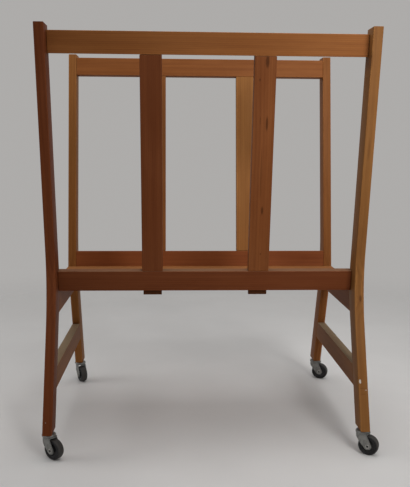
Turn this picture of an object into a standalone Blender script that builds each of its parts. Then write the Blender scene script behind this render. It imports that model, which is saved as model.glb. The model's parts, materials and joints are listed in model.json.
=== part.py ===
"""Wooden rack for framed prints, on four swivel castors.

Two panels of rails and slats lean outwards from a narrow waist and hold the prints between them
on a flat shelf. The four posts are bent in outline: they lean out above the waist and splay out
below it. All timber is one stock size. The frame's joints are mortises and tenons.

Metres, +Z up, X across the rack, front at -Y. The origin is the centre of the shelf's top face.
"""
from math import acos, atan2, cos, pi, radians, sin, tan

import bmesh
import bpy
from mathutils import Matrix, Vector

# Timber stock and the frame's overall sizes
BOARD_THICK = 0.021
BOARD_WIDE = 0.047
FRAME_WIDE = 0.720
POST_TOP = 0.571
POST_FOOT = -0.302
WAIST_OUT = 0.1835
LEAN = radians(8.67)
SPLAY = radians(18.98)
WAIST_RADIUS = 0.360
WAIST_STEPS = 9
ARRIS = 0.0012

# Rails, slats and shelf
TOP_RAIL_DROP = 0.012
LOWER_RAIL_RISE = 0.038
FRONT_SLATS = {"left": -0.1235, "right": 0.1205}
REAR_SLATS = {"left": -0.1195, "right": 0.1215}
SHELF_THICK = 0.012
STRETCHER_RISE = 0.128

# Tenons and their mortises
TENON_THICK = 0.009
TENON_SHOULDER = 0.006
RAIL_TENON = 0.014
CROSS_TENON = 0.020
SLAT_TENON_WIDE = 0.0425
SLAT_TENON_TOP = 0.018
SLAT_TENON_PROUD = 0.0115

# Shelf screws
SCREWS_PER_END = 3
SCREW_SPAN = 0.170
SCREW_HEAD_RADIUS = 0.0038
SCREW_HEAD_DEEP = 0.0024
SCREW_SHANK_RADIUS = 0.0018
SCREW_LENGTH = 0.038
SCREW_STEPS = 8

# Castors: socket, stem and swivel race, all measured from the foot of the post
SOCKET_RADIUS = 0.0055
SOCKET_DEEP = 0.036
SOCKET_WALL = 0.0013
FLANGE_RADIUS = 0.0085
FLANGE_THICK = 0.0012
STEM_TIP = 0.0012
COLLAR_RADIUS = 0.0072
COLLAR_THICK = 0.0014
CAP_RADIUS = 0.0155
CAP_THICK = 0.0012
CAP_SHOULDER = 0.0030
BALL_RADIUS = 0.0014
BALL_RING = 0.0082
BALL_COUNT = 8
BALL_SEGMENTS = 6
BALL_RINGS = 4
RETAINER_WIDE = 0.0022
RETAINER_THICK = 0.0006
RIVET_RADIUS = 0.0062
RIVET_THICK = 0.0018
STEM_STEPS = 12
CAP_STEPS = 18

# Castors: fork, axle, wheel and tyre
PLATE_THICK = 0.0018
LEAD_END = 0.0145
LEAD_STEPS = 8
NOSE_RADIUS = 0.0175
NOSE_STEPS = 32
CROWN_BEND = 0.0030
BEND_STEPS = 3
SKIRT = 0.0075
FORK_END_RADIUS = 0.0085
FORK_END_STEPS = 7
TRAIL = 0.0145
AXLE_DROP = 0.0365
AXLE_RADIUS = 0.0034
AXLE_HEAD_RADIUS = 0.0054
AXLE_HEAD_THICK = 0.0015
DIMPLE_RADIUS = 0.0025
DIMPLE_DEEP = 0.0030
AXLE_STEPS = 12
HUB_WIDE = 0.020
HUB_RADIUS = 0.0066
HUB_DRAFT = 0.0005
WEB_THICK = 0.006
RIM_RADIUS = 0.0160
RIM_WIDE = 0.015
RIM_THICK = 0.0025
TYRE_RADIUS = 0.0230
TYRE_WIDE = 0.017
TYRE_SHOULDER = 0.0035
TYRE_SHOULDER_STEPS = 2
WHEEL_STEPS = 20
TYRE_STEPS = 26

# Way each castor points at rest, as the bearing of its trail from +X towards the front
HEADINGS = {
    "front_left": radians(34),
    "front_right": radians(29),
    "rear_left": radians(62),
    "rear_right": radians(24),
}

GAP = 0.0003
WELD = 0.00001
FLAT = radians(0.5)
SHARP = radians(35)

SIDES = {"front": -1, "rear": 1}
ENDS = {"left": -1, "right": 1}

# Values that follow from the sizes above
INNER_UP = WAIST_OUT - BOARD_WIDE / cos(LEAN)
INNER_LOW = WAIST_OUT - BOARD_WIDE / cos(SPLAY)
POST_X = (FRAME_WIDE - BOARD_THICK) / 2
RAIL_HALF = FRAME_WIDE / 2 - BOARD_THICK
FOOT_Y = WAIST_OUT - POST_FOOT * tan(SPLAY) - BOARD_WIDE / cos(SPLAY) / 2
STRETCHER_TOP = POST_FOOT + STRETCHER_RISE

SOCKET_LOW = -GAP - FLANGE_THICK
COLLAR_TOP = SOCKET_LOW - GAP
COLLAR_LOW = COLLAR_TOP - COLLAR_THICK
CAP_TOP = COLLAR_LOW - GAP
CAP_UNDER = CAP_TOP - CAP_THICK
BALL_Z = CAP_UNDER - GAP - BALL_RADIUS
CROWN_TOP = BALL_Z - BALL_RADIUS - GAP
CROWN_LOW = CROWN_TOP - PLATE_THICK
STEM_RADIUS = SOCKET_RADIUS - SOCKET_WALL - GAP
STEM_HOLE = STEM_RADIUS + GAP
FORK_INNER = HUB_WIDE / 2 + GAP
FORK_OUTER = FORK_INNER + PLATE_THICK
LEAD_CENTRE = FORK_OUTER - LEAD_END
LEG_TOP = CROWN_LOW - PLATE_THICK
FORK_HIGH = AXLE_DROP + FORK_END_RADIUS + CROWN_TOP
AXLE_HOLE = AXLE_RADIUS + GAP
CUT_REACH = 4 * NOSE_RADIUS


def clear_scene():
    for item in list(bpy.data.objects):
        bpy.data.objects.remove(item, do_unlink=True)


def new_collection(name):
    collection = bpy.data.collections.new(name)
    bpy.context.scene.collection.children.link(collection)
    return collection


def finish_of(name, colour, roughness, metallic=0.0):
    material = bpy.data.materials.new(name)
    material.use_nodes = True
    shader = material.node_tree.nodes["Principled BSDF"]
    shader.inputs["Base Color"].default_value = (*colour, 1.0)
    shader.inputs["Roughness"].default_value = roughness
    shader.inputs["Metallic"].default_value = metallic
    return material


def add_object(name, mesh, kind, matrix=None, parent=None):
    """Link a mesh as a part, or as a cutter when kind is None."""
    item = bpy.data.objects.new(name, mesh)
    if kind is None:
        CUTTERS.objects.link(item)
        item.hide_render = True
        item.display_type = "WIRE"
    else:
        PARTS.objects.link(item)
        mesh.materials.append(FINISHES[kind])
    item.parent = parent
    item.matrix_local = matrix or Matrix.Identity(4)
    return item


def evaluated_mesh(item):
    """The item's mesh after its modifiers, welded, with flat areas as single faces."""
    bpy.context.view_layer.update()
    graph = bpy.context.evaluated_depsgraph_get()
    mesh = bpy.data.meshes.new_from_object(item.evaluated_get(graph))
    shape = bmesh.new()
    shape.from_mesh(mesh)
    bmesh.ops.remove_doubles(shape, verts=shape.verts, dist=WELD)
    bmesh.ops.dissolve_limit(shape, angle_limit=FLAT, verts=shape.verts, edges=shape.edges)
    bmesh.ops.recalc_face_normals(shape, faces=shape.faces)
    shape.to_mesh(mesh)
    shape.free()
    return mesh


def settle(item):
    """Keep the result of the item's modifiers as its mesh and shade it smooth."""
    mesh = evaluated_mesh(item)
    item.modifiers.clear()
    item.data = mesh
    mesh.shade_smooth()
    mesh.set_sharp_from_angle(angle=SHARP)
    return item


def block(name, low, high, kind, matrix=None, parent=None):
    """A box between two corners given in the matrix's own axes."""
    low = Vector(low)
    high = Vector(high)
    shape = bmesh.new()
    bmesh.ops.create_cube(shape, size=1.0)
    bmesh.ops.scale(shape, vec=high - low, verts=shape.verts)
    bmesh.ops.translate(shape, vec=(low + high) / 2, verts=shape.verts)
    mesh = bpy.data.meshes.new(name)
    shape.to_mesh(mesh)
    shape.free()
    return add_object(name, mesh, kind, matrix, parent)


def flat_shape(name, outline, thick, kind, matrix=None, parent=None):
    """A flat outline in the matrix's XY plane, given its thickness equally to both sides."""
    curve = bpy.data.curves.new(name, "CURVE")
    curve.dimensions = "2D"
    curve.fill_mode = "BOTH"
    curve.extrude = thick / 2
    spline = curve.splines.new("POLY")
    spline.points.add(len(outline) - 1)
    for point, (x, y) in zip(spline.points, outline):
        point.co = (x, y, 0.0, 1.0)
    spline.use_cyclic_u = True
    drawn = bpy.data.objects.new(name + "_outline", curve)
    PARTS.objects.link(drawn)
    mesh = evaluated_mesh(drawn)
    mesh.name = name
    bpy.data.objects.remove(drawn, do_unlink=True)
    bpy.data.curves.remove(curve)
    mesh.materials.clear()
    return add_object(name, mesh, kind, matrix, parent)


def turned(name, profile, steps, kind, matrix=None, parent=None, ring=True):
    """A profile of (radius, height) points turned about the matrix's Z axis.

    The profile runs down its outer side. A ring's profile closes on itself, and any other
    profile starts and ends on the axis.
    """
    edges = [(i, i + 1) for i in range(len(profile) - 1)]
    if ring:
        edges.append((len(profile) - 1, 0))
    mesh = bpy.data.meshes.new(name)
    mesh.from_pydata([(radius, 0.0, height) for radius, height in profile], edges, [])
    item = add_object(name, mesh, kind, matrix, parent)
    screw = item.modifiers.new("Turn", "SCREW")
    screw.axis = "Z"
    screw.angle = 2 * pi
    screw.steps = steps
    screw.render_steps = steps
    screw.use_merge_vertices = True
    screw.merge_threshold = WELD
    if kind is None:
        return item
    return settle(item)


def round_arrises(item, width=ARRIS, segments=2):
    bevel = item.modifiers.new("Arris", "BEVEL")
    bevel.width = width
    bevel.segments = segments
    bevel.limit_method = "ANGLE"
    bevel.angle_limit = SHARP


def combine(item, other, operation):
    boolean = item.modifiers.new(operation.title() + " " + other.name, "BOOLEAN")
    boolean.operation = operation
    boolean.object = other
    boolean.solver = "EXACT"


def cut(item, *cutters):
    for cutter in cutters:
        combine(item, cutter, "DIFFERENCE")


def join(item, other):
    combine(item, other, "UNION")


def panel_frame(side):
    """Axes of a leaning panel: X across, Z up the lean and Y square to its inner plane."""
    return Matrix.Translation((0.0, side * INNER_UP, 0.0)) @ Matrix.Rotation(-side * LEAN, 4, "X")


def up_panel(height, out=0.0):
    """Distance up the lean of a point at this height, out from the panel's inner plane."""
    return (height + out * sin(LEAN)) / cos(LEAN)


def panel_block(name, side, x_range, up_range, kind, inset=0.0):
    """A box in a panel, inset equally from the panel's two faces."""
    near = sorted((side * inset, side * (BOARD_THICK - inset)))
    low = (x_range[0], near[0], up_range[0])
    high = (x_range[1], near[1], up_range[1])
    return block(name, low, high, kind, panel_frame(side))


def side_frame(x):
    """Axes of a side frame: X runs to the rear, Y up and Z across the rack."""
    return Matrix(((0, 0, 1, x), (1, 0, 0, 0), (0, 1, 0, 0), (0, 0, 0, 1)))


def inner_leg(height):
    """Inner edge of the splayed legs, from the mid plane."""
    return INNER_LOW - height * tan(SPLAY)


def kink():
    """Point where the two straight inner edges of a post meet."""
    height = (INNER_LOW - INNER_UP) / (tan(LEAN) + tan(SPLAY))
    return INNER_UP + height * tan(LEAN), height


def post_outline(side):
    centre_up = WAIST_RADIUS * tan((LEAN + SPLAY) / 2)
    centre = (
        WAIST_OUT + centre_up * sin(LEAN) + WAIST_RADIUS * cos(LEAN),
        centre_up * cos(LEAN) - WAIST_RADIUS * sin(LEAN),
    )
    points = [(INNER_UP + POST_TOP * tan(LEAN), POST_TOP), kink(), (inner_leg(POST_FOOT), POST_FOOT)]
    points.append((inner_leg(POST_FOOT) + BOARD_WIDE / cos(SPLAY), POST_FOOT))
    for i in range(WAIST_STEPS + 1):
        angle = -SPLAY + (LEAN + SPLAY) * i / WAIST_STEPS
        points.append((centre[0] - WAIST_RADIUS * cos(angle), centre[1] + WAIST_RADIUS * sin(angle)))
    points.append((WAIST_OUT + POST_TOP * tan(LEAN), POST_TOP))
    return [(side * y, z) for y, z in points]


def cross_outline(top, shoulder, reach):
    """Outline of a piece between the splayed legs, its ends cut to their slope."""
    high = top - shoulder
    low = top - BOARD_WIDE + shoulder
    at_high = inner_leg(high) + reach / cos(SPLAY)
    at_low = inner_leg(low) + reach / cos(SPLAY)
    return [(-at_high, high), (at_high, high), (at_low, low), (-at_low, low)]


def tenon_bar(name, side, up_low, grow, kind=None):
    """Bar whose ends are a rail's two tenons; grown, it cuts their mortises."""
    reach = RAIL_HALF + RAIL_TENON + grow
    span = (up_low + TENON_SHOULDER - grow, up_low + BOARD_WIDE - TENON_SHOULDER + grow)
    inset = (BOARD_THICK - TENON_THICK) / 2 - grow
    return panel_block(name, side, (-reach, reach), span, kind, inset)


def make_rail(name, side, up_low):
    """A rail with a stub tenon at each end, and the cutter for its mortises."""
    half = RAIL_HALF - GAP
    rail = panel_block(name, side, (-half, half), (up_low, up_low + BOARD_WIDE), "rail_wood")
    round_arrises(rail)
    join(rail, tenon_bar(name + "_tenons", side, up_low, 0.0))
    return rail, tenon_bar(name + "_mortises", side, up_low, GAP)


def make_slat(name, side, x, rails):
    """A slat between the rails, tenoned blind into the upper and right through the lower."""
    lower_up, upper_up = rails
    bottom = lower_up + BOARD_WIDE
    half = BOARD_WIDE / 2
    slat = panel_block(name, side, (x - half, x + half), (bottom + GAP, upper_up - GAP), "slat_wood")
    round_arrises(slat)
    half = SLAT_TENON_WIDE / 2
    span = (lower_up - SLAT_TENON_PROUD, upper_up + SLAT_TENON_TOP)
    inset = (BOARD_THICK - TENON_THICK) / 2
    join(slat, panel_block(name + "_tenon", side, (x - half, x + half), span, None, inset))
    half += GAP
    span = (span[0] - GAP, span[1] + GAP)
    return panel_block(name + "_mortise", side, (x - half, x + half), span, None, inset - GAP)


def make_panel(word, side, places):
    """Both rails and both slats of the front or rear panel; returns the posts' cutters."""
    lower_up = up_panel(LOWER_RAIL_RISE, BOARD_THICK) - BOARD_WIDE
    upper_up = up_panel(POST_TOP - TOP_RAIL_DROP, BOARD_THICK) - BOARD_WIDE
    lower, lower_mortises = make_rail("lower_rail_" + word, side, lower_up)
    upper, upper_mortises = make_rail("top_rail_" + word, side, upper_up)
    for end, x in places.items():
        mortise = make_slat("slat_" + word + "_" + end, side, x, (lower_up, upper_up))
        cut(lower, mortise)
        cut(upper, mortise)
    return [lower_mortises, upper_mortises]


def make_cross(name, x, top):
    """A cross piece between the legs with a tenon at each end, and the cutter for its mortises."""
    frame = side_frame(x)
    piece = flat_shape(name, cross_outline(top, 0.0, -GAP), BOARD_THICK, "cross_wood", frame)
    round_arrises(piece)
    tenons = cross_outline(top, TENON_SHOULDER, CROSS_TENON)
    join(piece, flat_shape(name + "_tenons", tenons, TENON_THICK, None, frame))
    mortises = cross_outline(top, TENON_SHOULDER - GAP, CROSS_TENON + GAP)
    cutter = flat_shape(name + "_mortises", mortises, TENON_THICK + 2 * GAP, None, frame)
    return piece, cutter


def screw_places():
    step = SCREW_SPAN / (SCREWS_PER_END - 1)
    rows = [i * step - SCREW_SPAN / 2 for i in range(SCREWS_PER_END)]
    return [(end, i + 1, sign * POST_X, y) for end, sign in ENDS.items() for i, y in enumerate(rows)]


def screw_profile(grow, top):
    """Countersunk screw from its head down to its point."""
    head = SCREW_HEAD_RADIUS + grow
    shank = SCREW_SHANK_RADIUS + grow
    point = -SCREW_LENGTH - grow
    return [
        (0.0, top),
        (head, top),
        (head, -2 * GAP),
        (shank, -2 * GAP - SCREW_HEAD_DEEP),
        (shank, point + 2 * SCREW_SHANK_RADIUS),
        (0.0, point),
    ]


def make_screws():
    """The shelf's screws, and one cutter for their holes."""
    shape = bmesh.new()
    for end, number, x, y in screw_places():
        place = Matrix.Translation((x, y, 0.0))
        name = "shelf_screw_" + end + "_" + str(number)
        turned(name, screw_profile(0.0, -GAP), SCREW_STEPS, "steel", place, ring=False)
        hole = turned(name + "_hole", screw_profile(GAP, GAP), SCREW_STEPS, None, ring=False)
        first = len(shape.verts)
        shape.from_mesh(evaluated_mesh(hole))
        shape.verts.ensure_lookup_table()
        bmesh.ops.translate(shape, vec=(x, y, 0.0), verts=shape.verts[first:])
        bpy.data.objects.remove(hole, do_unlink=True)
    mesh = bpy.data.meshes.new("screw_holes")
    shape.to_mesh(mesh)
    shape.free()
    return add_object("screw_holes", mesh, None)


def make_shelf():
    """The shelf lies on the cross rails and reaches the lower rails' inner faces."""
    corner_up = up_panel(LOWER_RAIL_RISE, BOARD_THICK) - BOARD_WIDE
    half_deep = min(INNER_UP + corner_up * sin(LEAN), kink()[0]) - GAP
    half_wide = FRAME_WIDE / 2
    low = (-half_wide, -half_deep, -SHELF_THICK)
    shelf = block("shelf", low, (half_wide, half_deep, 0.0), "shelf_wood")
    round_arrises(shelf)
    return shelf


def socket_hole(name, matrix):
    radius = SOCKET_RADIUS + GAP
    top = SOCKET_DEEP + GAP
    profile = [(0.0, top), (radius, top), (radius, -top), (0.0, -top)]
    return turned(name, profile, STEM_STEPS, None, matrix, ring=False)


def make_socket(name, foot):
    """Steel sleeve in the end grain, with a flange against the foot."""
    bore = SOCKET_RADIUS - SOCKET_WALL
    profile = [
        (SOCKET_RADIUS, SOCKET_DEEP),
        (SOCKET_RADIUS, -GAP),
        (FLANGE_RADIUS, -GAP),
        (FLANGE_RADIUS, SOCKET_LOW),
        (bore, SOCKET_LOW),
        (bore, SOCKET_DEEP),
    ]
    turned("socket_" + name, profile, STEM_STEPS, "zinc", foot)


def make_stem(name, foot):
    """Pin with a collar under the socket and a riveted head under the fork's crown."""
    tip = SOCKET_DEEP - STEM_TIP
    rivet_top = CROWN_LOW - GAP
    rivet_low = rivet_top - RIVET_THICK
    profile = [
        (0.0, tip),
        (STEM_RADIUS - STEM_TIP, tip),
        (STEM_RADIUS, tip - STEM_TIP),
        (STEM_RADIUS, COLLAR_TOP),
        (COLLAR_RADIUS, COLLAR_TOP),
        (COLLAR_RADIUS, COLLAR_LOW),
        (STEM_RADIUS, COLLAR_LOW),
        (STEM_RADIUS, rivet_top),
        (RIVET_RADIUS, rivet_top),
        (RIVET_RADIUS, rivet_low + RIVET_THICK / 2),
        (RIVET_RADIUS - RIVET_THICK, rivet_low),
        (0.0, rivet_low),
    ]
    turned("stem_" + name, profile, STEM_STEPS, "steel", foot, ring=False)


def make_race_cap(name, foot):
    """Pressed cap that holds the balls down on the fork's crown."""
    rim_low = CROWN_TOP + GAP
    profile = [
        (STEM_HOLE, CAP_TOP),
        (CAP_RADIUS - CAP_SHOULDER, CAP_TOP),
        (CAP_RADIUS - CAP_SHOULDER / 3, CAP_TOP - CAP_SHOULDER / 3),
        (CAP_RADIUS, CAP_TOP - CAP_SHOULDER),
        (CAP_RADIUS, rim_low),
        (CAP_RADIUS - CAP_THICK, rim_low),
        (CAP_RADIUS - CAP_THICK, CAP_UNDER - CAP_SHOULDER / 3),
        (CAP_RADIUS - CAP_SHOULDER, CAP_UNDER),
        (STEM_HOLE, CAP_UNDER),
    ]
    turned("race_cap_" + name, profile, CAP_STEPS, "zinc", foot)


def make_ball_ring(name, foot):
    """Balls of the swivel race, held apart by a flat retaining ring."""
    shape = bmesh.new()
    for i in range(BALL_COUNT):
        angle = 2 * pi * i / BALL_COUNT
        place = Matrix.Translation((BALL_RING * cos(angle), BALL_RING * sin(angle), BALL_Z))
        bmesh.ops.create_uvsphere(
            shape, u_segments=BALL_SEGMENTS, v_segments=BALL_RINGS, radius=BALL_RADIUS, matrix=place)
    mesh = bpy.data.meshes.new("balls_" + name)
    shape.to_mesh(mesh)
    shape.free()
    balls = add_object("balls_" + name, mesh, None, foot)
    inner = BALL_RING - RETAINER_WIDE / 2
    outer = BALL_RING + RETAINER_WIDE / 2
    half = RETAINER_THICK / 2
    profile = [
        (outer, BALL_Z + half),
        (outer, BALL_Z - half),
        (inner, BALL_Z - half),
        (inner, BALL_Z + half),
    ]
    ring = turned("ball_ring_" + name, profile, STEM_STEPS, "steel", foot)
    join(ring, balls)
    settle(ring)


def tangent_angle(point, centre, radius, turn):
    """Bearing from the centre of the point where a line from the point touches the circle."""
    dx = point[0] - centre[0]
    dy = point[1] - centre[1]
    return atan2(dy, dx) + turn * acos(radius / (dx * dx + dy * dy) ** 0.5)


def fork_plan(half, reach):
    """Plan of the fork: two straight sides that meet round its leading end."""
    points = [(reach, -half), (reach, half)]
    for i in range(LEAD_STEPS + 1):
        angle = pi / 2 + pi * i / LEAD_STEPS
        points.append((LEAD_CENTRE + half * cos(angle), half * sin(angle)))
    return points


def fork_side():
    """Side of the fork: two legs that taper to a round end about the axle, under the crown."""
    centre = (TRAIL, -AXLE_DROP)
    inside = (NOSE_RADIUS ** 2 - FORK_OUTER ** 2) ** 0.5 - PLATE_THICK / 2
    front = (inside, LEG_TOP)
    back = (-LEAD_END, CROWN_TOP - SKIRT)
    first = tangent_angle(front, centre, FORK_END_RADIUS, -1)
    last = tangent_angle(back, centre, FORK_END_RADIUS, 1) - 2 * pi
    points = [(-CUT_REACH, back[1]), (-CUT_REACH, PLATE_THICK)]
    points += [(CUT_REACH, PLATE_THICK), (CUT_REACH, LEG_TOP), front]
    for i in range(FORK_END_STEPS + 1):
        angle = first + (last - first) * i / FORK_END_STEPS
        points.append((centre[0] + FORK_END_RADIUS * cos(angle), centre[1] + FORK_END_RADIUS * sin(angle)))
    points.append(back)
    return points


def bend_crown(mesh):
    """Round the edge where the crown turns down into the legs and the leading end."""
    shape = bmesh.new()
    shape.from_mesh(mesh)
    top = max(vertex.co.z for vertex in shape.verts) - WELD
    edges = [
        edge for edge in shape.edges
        if min(vertex.co.z for vertex in edge.verts) > top
        and min(vertex.co.x for vertex in edge.verts) < NOSE_RADIUS
    ]
    bmesh.ops.bevel(
        shape, geom=edges, offset=CROWN_BEND, segments=BEND_STEPS, profile=0.5, affect="EDGES")
    shape.to_mesh(mesh)
    shape.free()


def make_fork(name, swivel):
    """Pressed fork: a crown with a round nose, bent down into two legs and a closed leading end."""
    upright = Matrix.Rotation(pi / 2, 4, "X")
    middle = Matrix.Translation((0.0, 0.0, CROWN_TOP - FORK_HIGH / 2))
    plan = fork_plan(FORK_OUTER, CUT_REACH / 2)
    fork = flat_shape("fork_" + name, plan, FORK_HIGH, "zinc", middle, swivel)
    bend_crown(fork.data)
    side = flat_shape("fork_side_" + name, fork_side(), CUT_REACH, None, upright, swivel)
    combine(fork, side, "INTERSECT")
    ring_low = LEG_TOP - PLATE_THICK
    profile = [(CUT_REACH, GAP), (CUT_REACH, ring_low), (NOSE_RADIUS, ring_low), (NOSE_RADIUS, GAP)]
    nose = turned("fork_nose_" + name, profile, NOSE_STEPS, None, parent=swivel)
    middle = Matrix.Translation((0.0, 0.0, CROWN_LOW - FORK_HIGH / 2))
    plan = fork_plan(FORK_INNER, CUT_REACH)
    space = flat_shape("fork_space_" + name, plan, FORK_HIGH, None, middle, swivel)
    profile = [(0.0, GAP), (STEM_HOLE, GAP), (STEM_HOLE, -AXLE_DROP), (0.0, -AXLE_DROP)]
    stem_hole = turned("fork_stem_hole_" + name, profile, STEM_STEPS, None, parent=swivel, ring=False)
    profile = [(0.0, CUT_REACH), (AXLE_HOLE, CUT_REACH), (AXLE_HOLE, -CUT_REACH), (0.0, -CUT_REACH)]
    axle = Matrix.Translation((TRAIL, 0.0, -AXLE_DROP)) @ upright
    axle_hole = turned("fork_axle_hole_" + name, profile, AXLE_STEPS, None, axle, swivel, ring=False)
    cut(fork, nose, space, stem_hole, axle_hole)
    settle(fork)


def make_axle(name, swivel, axle):
    """Rivet through both legs of the fork and the wheel's bore, dimpled at its ends."""
    seat = FORK_OUTER + GAP
    end = seat + AXLE_HEAD_THICK
    half_profile = [
        (0.0, end - DIMPLE_DEEP),
        (DIMPLE_RADIUS, end - DIMPLE_DEEP),
        (DIMPLE_RADIUS, end),
        (AXLE_HEAD_RADIUS - AXLE_HEAD_THICK, end),
        (AXLE_HEAD_RADIUS, end - AXLE_HEAD_THICK / 2),
        (AXLE_HEAD_RADIUS, seat),
        (AXLE_RADIUS, seat),
    ]
    profile = half_profile + [(radius, -height) for radius, height in reversed(half_profile)]
    turned("axle_" + name, profile, AXLE_STEPS, "steel", axle, swivel, ring=False)


def make_wheel(name, spin):
    """Moulded wheel with a long hub, a thin web and a rim that carries the tyre."""
    rim_inner = RIM_RADIUS - RIM_THICK
    half_profile = [
        (AXLE_HOLE, HUB_WIDE / 2),
        (HUB_RADIUS, HUB_WIDE / 2),
        (HUB_RADIUS + HUB_DRAFT, WEB_THICK / 2),
        (rim_inner - HUB_DRAFT, WEB_THICK / 2),
        (rim_inner, RIM_WIDE / 2),
        (RIM_RADIUS, RIM_WIDE / 2),
    ]
    profile = half_profile + [(radius, -height) for radius, height in reversed(half_profile)]
    turned("wheel_" + name, profile, WHEEL_STEPS, "wheel_plastic", None, spin)


def make_tyre(name, spin):
    inner = RIM_RADIUS + GAP
    half = TYRE_WIDE / 2
    half_profile = [(inner, half)]
    for i in range(TYRE_SHOULDER_STEPS + 1):
        angle = pi / 2 * (1 - i / TYRE_SHOULDER_STEPS)
        radius = TYRE_RADIUS - TYRE_SHOULDER + TYRE_SHOULDER * cos(angle)
        half_profile.append((radius, half - TYRE_SHOULDER + TYRE_SHOULDER * sin(angle)))
    profile = half_profile + [(radius, -height) for radius, height in reversed(half_profile)]
    turned("tyre_" + name, profile, TYRE_STEPS, "rubber", None, spin)


def add_empty(name, matrix, parent=None):
    item = bpy.data.objects.new(name, None)
    PARTS.objects.link(item)
    item.parent = parent
    item.matrix_local = matrix
    return item


def make_castor(name, x, y, heading):
    """One castor under the foot of a post."""
    foot = Matrix.Translation((x, y, POST_FOOT))
    make_socket(name, foot)
    make_stem(name, foot)
    make_race_cap(name, foot)
    make_ball_ring(name, foot)
    swivel = add_empty("swivel_" + name, foot @ Matrix.Rotation(-heading, 4, "Z"))
    axle = Matrix.Translation((TRAIL, 0.0, -AXLE_DROP)) @ Matrix.Rotation(pi / 2, 4, "X")
    spin = add_empty("spin_" + name, axle, swivel)
    make_fork(name, swivel)
    make_axle(name, swivel, axle)
    make_wheel(name, spin)
    make_tyre(name, spin)


def make_post(name, x, side, cutters):
    post = flat_shape("post_" + name, post_outline(side), BOARD_THICK, "post_wood", side_frame(x))
    round_arrises(post)
    hole = socket_hole("socket_hole_" + name, Matrix.Translation((x, side * FOOT_Y, POST_FOOT)))
    cut(post, *cutters, hole)


def make_rack():
    rails = {
        "front": make_panel("front", SIDES["front"], FRONT_SLATS),
        "rear": make_panel("rear", SIDES["rear"], REAR_SLATS),
    }
    screw_holes = make_screws()
    cut(make_shelf(), screw_holes)
    for end, sign in ENDS.items():
        x = sign * POST_X
        cross, cross_mortises = make_cross("cross_rail_" + end, x, -SHELF_THICK - GAP)
        cut(cross, screw_holes)
        stretcher, stretcher_mortises = make_cross("stretcher_" + end, x, STRETCHER_TOP)
        for word, side in SIDES.items():
            name = word + "_" + end
            make_post(name, x, side, rails[word] + [cross_mortises, stretcher_mortises])
            make_castor(name, x, side * FOOT_Y, HEADINGS[name])


clear_scene()
PARTS = new_collection("print_rack")
CUTTERS = new_collection("cutters")
FINISHES = {
    "post_wood": finish_of("post_wood", (0.170, 0.066, 0.026), 0.45),
    "rail_wood": finish_of("rail_wood", (0.195, 0.080, 0.032), 0.42),
    "slat_wood": finish_of("slat_wood", (0.150, 0.058, 0.024), 0.45),
    "cross_wood": finish_of("cross_wood", (0.160, 0.064, 0.027), 0.50),
    "shelf_wood": finish_of("shelf_wood", (0.210, 0.096, 0.042), 0.42),
    "steel": finish_of("steel", (0.420, 0.410, 0.390), 0.35, 1.0),
    "zinc": finish_of("zinc", (0.330, 0.330, 0.320), 0.42, 1.0),
    "wheel_plastic": finish_of("wheel_plastic", (0.060, 0.060, 0.062), 0.50),
    "rubber": finish_of("rubber", (0.022, 0.022, 0.024), 0.65),
}
make_rack()
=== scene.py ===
"""Looks of a wooden print rack on four castors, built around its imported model."""
import json
from math import acos, atan2, cos, pi, radians, sin, tan

import bmesh
import bpy
from bpy.props import FloatProperty, FloatVectorProperty, PointerProperty
from mathutils import Matrix, Vector


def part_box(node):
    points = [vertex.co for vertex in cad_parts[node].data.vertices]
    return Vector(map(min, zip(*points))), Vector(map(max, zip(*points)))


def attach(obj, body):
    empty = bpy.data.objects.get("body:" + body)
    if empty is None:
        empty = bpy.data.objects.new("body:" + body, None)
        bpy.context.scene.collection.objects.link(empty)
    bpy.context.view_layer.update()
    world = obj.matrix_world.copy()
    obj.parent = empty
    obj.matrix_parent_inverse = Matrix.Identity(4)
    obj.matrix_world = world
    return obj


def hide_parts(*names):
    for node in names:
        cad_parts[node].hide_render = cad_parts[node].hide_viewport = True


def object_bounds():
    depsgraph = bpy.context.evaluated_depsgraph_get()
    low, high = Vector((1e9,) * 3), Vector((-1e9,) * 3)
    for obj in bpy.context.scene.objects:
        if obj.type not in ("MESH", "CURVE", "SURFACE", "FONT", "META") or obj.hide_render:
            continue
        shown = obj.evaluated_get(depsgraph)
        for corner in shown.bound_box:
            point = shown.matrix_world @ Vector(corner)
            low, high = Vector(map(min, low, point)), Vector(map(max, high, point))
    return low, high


bl_info = {
    "name": "Print Rack",
    "version": (1, 0, 0),
    "blender": (4, 5, 0),
    "location": "3D View > Sidebar > Print Rack",
    "description": "Finishes the timber, screws and castors of a print rack and lights it",
    "category": "Object",
}

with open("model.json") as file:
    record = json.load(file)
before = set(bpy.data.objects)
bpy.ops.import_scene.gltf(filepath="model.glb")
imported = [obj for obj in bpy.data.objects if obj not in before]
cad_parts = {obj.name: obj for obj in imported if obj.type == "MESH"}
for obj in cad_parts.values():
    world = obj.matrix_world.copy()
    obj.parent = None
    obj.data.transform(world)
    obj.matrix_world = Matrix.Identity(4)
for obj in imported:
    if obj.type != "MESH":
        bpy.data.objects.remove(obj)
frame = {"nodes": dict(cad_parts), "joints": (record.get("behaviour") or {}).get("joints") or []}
CAD_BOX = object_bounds()
JOINTS = {joint["name"]: joint for joint in frame["joints"]}

ENDS = {"left": -1, "right": 1}
SIDES = {"front": -1, "rear": 1}
CORNERS = [side + "_" + end for side in SIDES for end in ENDS]
RIGHT = Vector((1.0, 0.0, 0.0))
BACK = Vector((0.0, 1.0, 0.0))
UP = Vector((0.0, 0.0, 1.0))

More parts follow.
